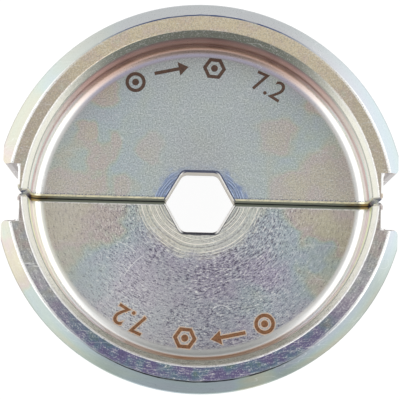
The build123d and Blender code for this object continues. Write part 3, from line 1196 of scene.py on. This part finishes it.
def ring_shape(shape, radius, stroke, rise, steps):
    """A round or many-sided ring, spun from one small upright section."""
    inner = radius - stroke
    places = ((inner, 0, 0), (radius, 0, 0), (radius, 0, rise), (inner, 0, rise))
    corners = [shape.verts.new(place) for place in places]
    edges = [shape.edges.new((corners[i - 1], corners[i])) for i in range(4)]
    bmesh.ops.spin(shape, geom=corners + edges, cent=(0, 0, 0), axis=(0, 0, 1), angle=2 * math.pi,
                   steps=steps, use_merge=True)


def corner_shape(shape, x_side, y_side):
    """What rounds one corner of the hexagonal opening, with its broken edges: it is seated in the metal."""
    corner = Vector((x_side / math.sqrt(3), y_side)) * HEX_ACROSS_FLATS / 2
    centre = corner * (1 - HEX_CORNER_RADIUS / math.cos(math.radians(30)) / corner.length)
    angles = [math.radians(degrees) for degrees in range(30, 91, 5)]
    arc = [Vector((x_side * math.cos(angle), y_side * math.sin(angle))) for angle in angles]
    top = WEB_FACE_Z - CORNER_SINK
    straight = top - HEX_EDGE_BREAK
    loops = []
    for height, grow in ((-top, HEX_EDGE_BREAK), (-straight, 0), (straight, 0), (top, HEX_EDGE_BREAK)):
        places = [centre + out * (HEX_CORNER_RADIUS + grow) for out in arc] + [corner * CORNER_SEAT]
        verts = [shape.verts.new((place.x, place.y, height)) for place in places]
        loops.append([shape.edges.new((verts[i - 1], verts[i])) for i in range(len(verts))])
    for low, high in zip(loops, loops[1:]):
        bmesh.ops.bridge_loops(shape, edges=low + high)
    bmesh.ops.contextual_create(shape, geom=loops[0])
    bmesh.ops.contextual_create(shape, geom=loops[-1])


def lug_sign(shape, grow, rise):
    """A round barrel with its conductor: a ring and a dot."""
    ring_shape(shape, MARK_HEIGHT / 2 + grow, MARK_STROKE + 2 * grow, rise, MARK_RING_STEPS)
    dot_shape(shape, MARK_DOT_RADIUS + grow, rise)


def arrow_sign(shape, grow, rise):
    """An arrow that points along X. In a halo the sharp tip and barbs grow more than the plain edges."""
    tail, neck, tip = -ARROW_HALF_LENGTH - grow, ARROW_NECK - grow, ARROW_HALF_LENGTH + 1.4 * grow
    thin, wide = MARK_STROKE / 2 + grow, ARROW_HALF_WIDTH + 1.2 * grow
    points = ((tail, -thin), (neck, -thin), (neck, -wide), (tip, 0), (neck, wide), (neck, thin), (tail, thin))
    stroke_shape(shape, points, rise)


def hexagon_sign(shape, grow, rise):
    """The pressed barrel: a hexagon and a dot."""
    to_corner = 2 / math.sqrt(3)
    radius = (MARK_HEIGHT / 2 + grow) * to_corner
    ring_shape(shape, radius, (MARK_STROKE + 2 * grow) * to_corner, rise, 6)
    dot_shape(shape, MARK_DOT_RADIUS + grow, rise)


def number_sign(text):
    """A maker of a plain number in the built-in typeface."""

    def make(shape, grow, rise):
        curve = bpy.data.curves.new("number", "FONT")
        curve.body = text
        curve.size = MARK_HEIGHT * MM / DIGIT_SHARE
        curve.align_x = "CENTER"
        curve.offset = (DIGIT_THICKENING + grow) * MM
        curve.extrude = rise * MM / 2
        holder = bpy.data.objects.new("number", curve)
        bpy.context.scene.collection.objects.link(holder)
        bpy.context.view_layer.update()
        graph = bpy.context.evaluated_depsgraph_get()
        mesh = bpy.data.meshes.new_from_object(holder.evaluated_get(graph))
        bpy.data.objects.remove(holder)
        bpy.data.curves.remove(curve)
        shape.from_mesh(mesh)
        bpy.data.meshes.remove(mesh)
        bmesh.ops.remove_doubles(shape, verts=shape.verts, dist=1e-7)
        bmesh.ops.translate(shape, verts=shape.verts, vec=(0, -MARK_HEIGHT * MM / 2, rise * MM / 2))
        bmesh.ops.scale(shape, verts=shape.verts, vec=(1 / MM, 1 / MM, 1 / MM))

    return make


# Each sign and where its middle stands, in degrees from the middle of the half, clockwise.
SIGNS = (
    ("lug", -27.5, lug_sign),
    ("arrow", -12.5, arrow_sign),
    ("hexagon", 4.5, hexagon_sign),
    ("seven", 23.2, number_sign("7")),
    ("point", 27.2, number_sign(".")),
    ("two", 31.4, number_sign("2")),
)


def add_piece(name, shape, material):
    """A finished shape in metres, as a piece that rides with the die."""
    bmesh.ops.recalc_face_normals(shape, faces=shape.faces)
    mesh = bpy.data.meshes.new(name)
    shape.to_mesh(mesh)
    shape.free()
    mesh.materials.append(material)
    piece = bpy.data.objects.new(name, mesh)
    bpy.context.scene.collection.objects.link(piece)
    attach(piece, "root")


def round_opening():
    """The rounding in the four flat corners of the opening."""
    for half, y_side in (("upper", 1), ("lower", -1)):
        for end, x_side in (("left", -1), ("right", 1)):
            shape = bmesh.new()
            corner_shape(shape, x_side, y_side)
            bmesh.ops.scale(shape, verts=shape.verts, vec=(MM, MM, MM))
            add_piece(f"{half}_corner_{end}", shape, bpy.data.materials[half + "_plating"])


def place_sign(name, maker, angle, half_turn, grow, rise, material):
    """One sign as its own piece, set on the web of a half along the arc of the marks."""
    shape = bmesh.new()
    maker(shape, grow, rise)
    matrix = Matrix.Translation((0, MARK_MIDDLE_RADIUS, 0))
    matrix = Matrix.Rotation(math.radians(-angle), 4, "Z") @ matrix
    matrix = Matrix.Translation((0, -HALF_SAW_CUT, WEB_FACE_Z)) @ matrix
    matrix = Matrix.Rotation(math.radians(half_turn), 4, "Z") @ matrix
    bmesh.ops.transform(shape, matrix=Matrix.Scale(MM, 4) @ matrix, verts=shape.verts)
    add_piece(name, shape, material)


def add_marks():
    """The marks on both halves, and the heat-tinted halo round those of the lower one."""
    upper = etching("upper_etching", DARK_BROWN, WARM_BROWN)
    lower = etching("lower_etching", ORANGE_BROWN, RUST_ORANGE)
    halo = etching("halo_tint", PALE_ORANGE, ZINC)
    for sign, angle, maker in SIGNS:
        place_sign("upper_mark_" + sign, maker, angle, 0, 0.0, MARK_RISE, upper)
        place_sign("lower_mark_" + sign, maker, angle, 180, 0.0, MARK_RISE, lower)
        place_sign("lower_halo_" + sign, maker, angle, 180, HALO_WIDTH, HALO_RISE, halo)


def add_camera():
    """The photo's camera: it looks down on the die, from a little below its middle."""
    forward = (CAMERA_TARGET - CAMERA_PLACE).normalized()
    right = forward.cross(Vector((0, 1, 0))).normalized()
    up = right.cross(forward)
    roll = math.radians(CAMERA_ROLL)
    turned_right = right * math.cos(roll) + up * math.sin(roll)
    turned_up = up * math.cos(roll) - right * math.sin(roll)
    camera = bpy.data.objects.new("camera", bpy.data.cameras.new("camera"))
    bpy.context.scene.collection.objects.link(camera)
    axes = Matrix((turned_right, turned_up, -forward)).transposed().to_4x4()
    camera.matrix_world = Matrix.Translation(CAMERA_PLACE * MM) @ axes
    camera.data.lens = CAMERA_LENS
    camera.data.clip_start = 0.01
    camera.data.clip_end = 10
    bpy.context.scene.camera = camera


def floor_paper():
    """White paper: it glows where the camera or a reflection sees it, and lights the die as plain paper."""
    material, nodes, shader = new_material("floor_paper")
    nodes.tree.nodes.remove(shader)
    paths = nodes.add("ShaderNodeLightPath").outputs
    seen = nodes.sum("MAXIMUM", paths["Is Camera Ray"], paths["Is Glossy Ray"])
    seen = nodes.sum("MAXIMUM", seen, paths["Is Transmission Ray"])
    paper = nodes.add("ShaderNodeBsdfDiffuse", PAPER).outputs[0]
    shade = nodes.add("ShaderNodeBsdfDiffuse", PAPER_IN_SIGHT).outputs[0]
    glow = nodes.add("ShaderNodeEmission", (1, 1, 1, 1), PAPER_GLOW).outputs[0]
    white = nodes.add("ShaderNodeAddShader", shade, glow).outputs[0]
    mixed = nodes.add("ShaderNodeMixShader", seen, paper, white).outputs[0]
    output = next(node for node in nodes.tree.nodes if node.type == "OUTPUT_MATERIAL")
    nodes.feed(output.inputs["Surface"], mixed)
    return material


def add_floor():
    """A white floor that keeps a faint shadow of the die."""
    mesh = bpy.data.meshes.new("floor")
    shape = bmesh.new()
    bmesh.ops.create_grid(shape, x_segments=1, y_segments=1, size=FLOOR_HALF_SIZE)
    bmesh.ops.translate(shape, verts=shape.verts, vec=(0, 0, -RIM_FACE_Z * MM))
    shape.to_mesh(mesh)
    shape.free()
    floor = bpy.data.objects.new("floor", mesh)
    bpy.context.scene.collection.objects.link(floor)
    mesh.materials.append(floor_paper())


def add_studio():
    """A soft light tent: bright at both sides, dimmer before and behind, with a dim spot overhead."""
    scene = bpy.context.scene
    scene.view_settings.view_transform = "Standard"
    world = bpy.data.worlds.new("studio")
    scene.world = world
    world.use_nodes = True
    world.node_tree.nodes.clear()
    sky = Nodes(world.node_tree)
    direction = sky.add("ShaderNodeTexCoord").outputs["Generated"]
    x, y, z = sky.add("ShaderNodeSeparateXYZ", direction).outputs
    out = sky.sum("SQRT", sky.rest(sky.product(z, z)))
    sideways = sky.sum("DIVIDE", sky.sum("ABSOLUTE", x), sky.sum("MAXIMUM", out, 0.02))
    behind = sky.step(y, -0.4, 0.4)
    high = sky.between(behind, TENT_BEFORE[0], TENT_BEHIND[0])
    low = sky.between(behind, TENT_BEFORE[1], TENT_BEHIND[1])
    level = sky.between(sky.step(z, 0.34, 0.56, 1.0, 0.0), high, low)
    level = sky.between(sky.step(sideways, 0.35, 0.80), level, TENT_SIDES)
    level = sky.between(sky.step(z, 0.82, 0.975), level, TENT_TOP)
    background = sky.add("ShaderNodeBackground", (1, 1, 1, 1), level).outputs[0]
    sky.add("ShaderNodeOutputWorld", background)


add_camera()
add_floor()
add_studio()
dress_halves()
round_opening()
add_marks()
